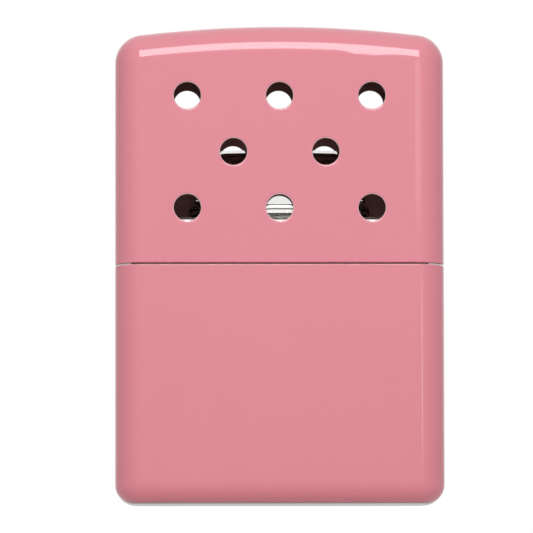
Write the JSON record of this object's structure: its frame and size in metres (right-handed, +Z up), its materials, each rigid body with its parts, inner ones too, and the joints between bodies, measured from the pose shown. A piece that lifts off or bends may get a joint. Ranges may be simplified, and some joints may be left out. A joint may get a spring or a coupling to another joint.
{
  "type": "catalytic hand warmer",
  "caption": "Pocket catalytic hand warmer: painted case with packed tank, slip-on vented cap, and a plated collar, oblong neck and lift-off burner inside",
  "frame": {"origin": "middle of the flat base, on the surface that the warmer stands on", "axes": "+Z up through the cap, +X to the right across the width, front face towards -Y"},
  "size_m": [0.051, 0.013, 0.0743],
  "materials": {
    "paint": "smooth gloss pink enamel",
    "plating": "bright plated sheet",
    "solder": "dull solder",
    "cotton": "loose cotton wadding",
    "felt": "pressed felt",
    "gauze": "fine woven wire",
    "fibre": "glass-fibre pad, darkened by the catalyst"
  },
  "bodies": {
    "case": {"lower_case": "paint", "tank_collar": "plating", "collar_solder": "solder", "fuel_neck": "plating", "neck_solder": "solder", "cotton_wad_1": "cotton", "cotton_wad_2": "cotton", "cotton_wad_3": "cotton", "cotton_wad_4": "cotton", "cotton_wad_5": "cotton", "wick_felt": "felt"},
    "burner": {"burner_base": "plating", "burner_cover": "plating", "pad_frame": "plating", "gauze_floor": "gauze", "gauze_hood": "gauze", "catalyst_pad": "fibre", "rivet_left": "plating", "rivet_right": "plating"},
    "cap": {"vent_cap": "paint"}
  },
  "joints": [
    {"name": "cap_lift", "type": "slide", "parent": "case", "child": "cap", "axis": [0, 0, 1], "range_m": [0, 0.04]},
    {"name": "burner_lift", "type": "slide", "parent": "case", "child": "burner", "axis": [0, 0, 1], "range_m": [0, 0.012]}
  ]
}
